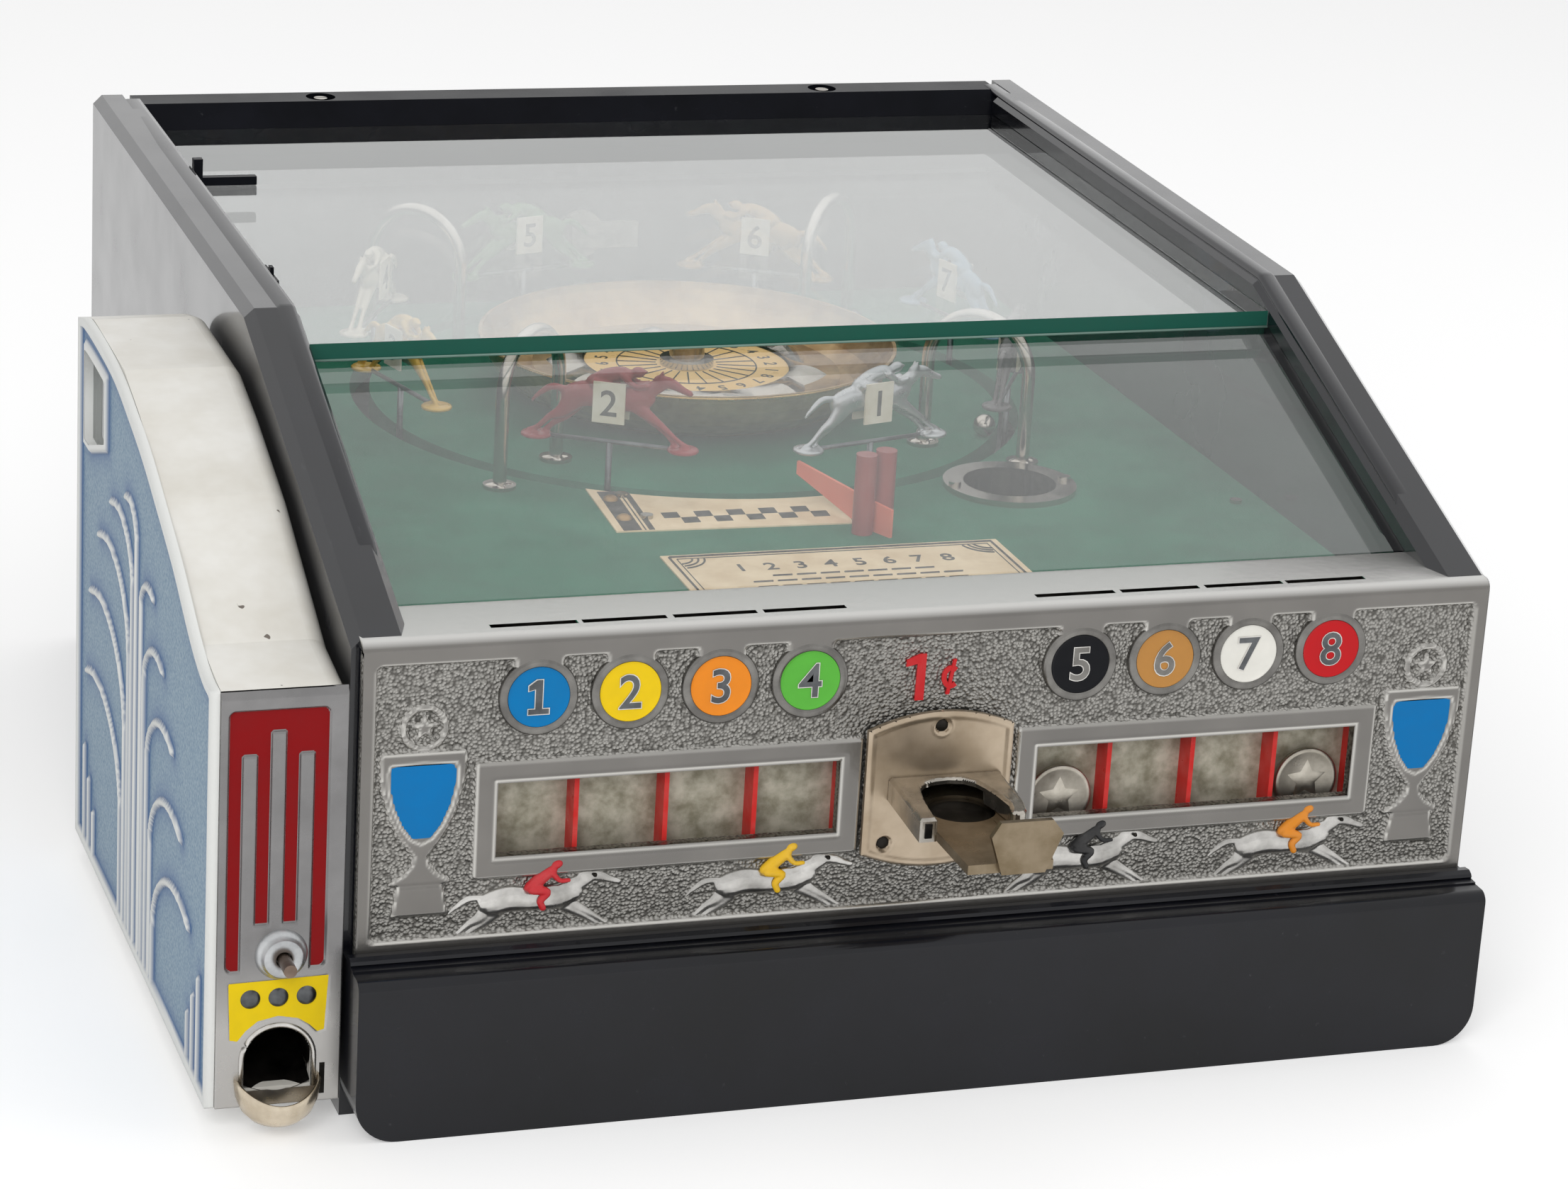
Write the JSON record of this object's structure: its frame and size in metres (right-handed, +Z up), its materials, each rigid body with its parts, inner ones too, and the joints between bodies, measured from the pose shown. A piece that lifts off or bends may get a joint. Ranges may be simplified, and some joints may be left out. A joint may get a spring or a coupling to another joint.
{
  "type": "trade stimulator",
  "caption": "Coin-operated countertop horse-race game: black slope-topped wood cabinet with glass-covered track, cast front, push coin slide and a side-mounted ball-gum vendor.",
  "frame": {"origin": "middle of the cabinet's footprint, at the level of the table it stands on", "axes": "+Z up, +X to the right of someone facing the front, front faces -Y"},
  "size_m": [0.408, 0.491, 0.212],
  "materials": {
    "black_wood": "satin",
    "inner_wood": "matt",
    "pane": "gloss",
    "cast_metal": "satin",
    "sheet_steel": "satin",
    "bright_nickel": "gloss",
    "warm_brass": "gloss",
    "green_felt": "matt",
    "printed_card": "matt",
    "red_enamel": "gloss",
    "orange_red": "satin",
    "disc_paint": "gloss",
    "blue_enamel": "gloss",
    "horse_silver": "gloss",
    "horse_red": "gloss",
    "horse_yellow": "gloss",
    "horse_cream": "gloss",
    "horse_green": "gloss",
    "horse_gold": "gloss",
    "horse_blue": "gloss",
    "horse_dark": "gloss",
    "drive_steel": "satin",
    "white_card": "matt"
  },
  "bodies": {
    "cabinet": {"left_side_board": "black_wood", "right_side_board": "black_wood", "base_board": "black_wood", "foot_moulding": "black_wood", "back_rail": "black_wood", "bottom_board": "inner_wood", "rear_glass": "pane", "front_glass": "pane", "vendor_window": "pane", "front_plate": "cast_metal", "vendor_case": "cast_metal", "window_back": "sheet_steel", "cash_box": "sheet_steel", "slide_screws": "sheet_steel", "back_rail_screws": "sheet_steel", "door_pins": "sheet_steel", "glass_clip": "sheet_steel", "vendor_bolts": "sheet_steel", "playfield_screws": "sheet_steel", "coins": "bright_nickel", "coin_slide_plate": "bright_nickel", "ring_ferrule": "bright_nickel", "steel_ball": "bright_nickel", "vendor_cup": "bright_nickel", "hurdle_front_left": "bright_nickel", "hurdle_front_right": "bright_nickel", "hurdle_back_left": "bright_nickel", "hurdle_back_right": "bright_nickel", "bowl": "warm_brass", "playfield_board": "green_felt", "track_disc": "green_felt", "finish_strip": "printed_card", "rules_card": "printed_card", "finish_dowels": "red_enamel", "coin_dividers": "red_enamel", "finish_arm": "orange_red", "number_discs": "disc_paint", "vendor_side_panel": "blue_enamel", "drive_frame": "drive_steel", "lever_post": "drive_steel"},
    "back_door": {"back_door": "black_wood", "door_lock": "warm_brass"},
    "coin_slide": {"coin_slide": "bright_nickel"},
    "coin_flap": {"coin_drop_flap": "sheet_steel"},
    "kick_lever": {"kick_lever": "drive_steel"},
    "carousel": {"carousel": "drive_steel", "number_tags": "white_card", "horse_1": "horse_silver", "horse_2": "horse_red", "horse_3": "horse_yellow", "horse_4": "horse_cream", "horse_5": "horse_green", "horse_6": "horse_gold", "horse_7": "horse_blue", "horse_8": "horse_dark"},
    "rotor": {"rotor_spindle": "bright_nickel", "pocket_ring": "cast_metal", "dial_disc": "printed_card"},
    "lay_shaft": {"lay_shaft": "drive_steel"},
    "vendor_shaft": {"vendor_shaft": "bright_nickel"}
  },
  "joints": [
    {"name": "door_hinge", "type": "hinge", "parent": "cabinet", "child": "back_door", "pos_m": [0, 0.2095, 0.0205], "axis": [1, 0, 0], "range_deg": [-90, 0]},
    {"name": "slide_push", "type": "slide", "parent": "cabinet", "child": "coin_slide", "axis": [0, 1, 0], "range_m": [0, 0.022], "stiffness_N_per_m": 200},
    {"name": "flap_turn", "type": "hinge", "parent": "cabinet", "child": "coin_flap", "pos_m": [0, -0.1905, 0.0717], "axis": [1, 0, 0], "range_deg": [0, 46]},
    {"name": "lever_turn", "type": "hinge", "parent": "cabinet", "child": "kick_lever", "pos_m": [0.04, -0.1175, 0.0925], "axis": [0, 0, 1], "range_deg": [-36, 0]},
    {"name": "carousel_spin", "type": "hinge", "parent": "cabinet", "child": "carousel", "pos_m": [0.0035, 0.0735, 0.1195], "axis": [0, 0, 1], "continuous": true},
    {"name": "rotor_spin", "type": "hinge", "parent": "cabinet", "child": "rotor", "pos_m": [0.0035, 0.0735, 0.1], "axis": [0, 0, 1], "continuous": true},
    {"name": "lay_spin", "type": "hinge", "parent": "cabinet", "child": "lay_shaft", "pos_m": [0.0536, 0.0735, 0.07], "axis": [0, 0, 1], "continuous": true},
    {"name": "vendor_turn", "type": "hinge", "parent": "cabinet", "child": "vendor_shaft", "pos_m": [-0.203, -0.2, 0.057], "axis": [0, 1, 0], "continuous": true}
  ],
  "couplings": [
    {"joint": "flap_turn", "follows": "slide_push", "rad_per_m": 35},
    {"joint": "lever_turn", "follows": "slide_push", "rad_per_m": -28},
    {"joint": "lay_spin", "follows": "carousel_spin", "ratio": -1.5},
    {"joint": "rotor_spin", "follows": "carousel_spin", "ratio": 0.64286}
  ]
}
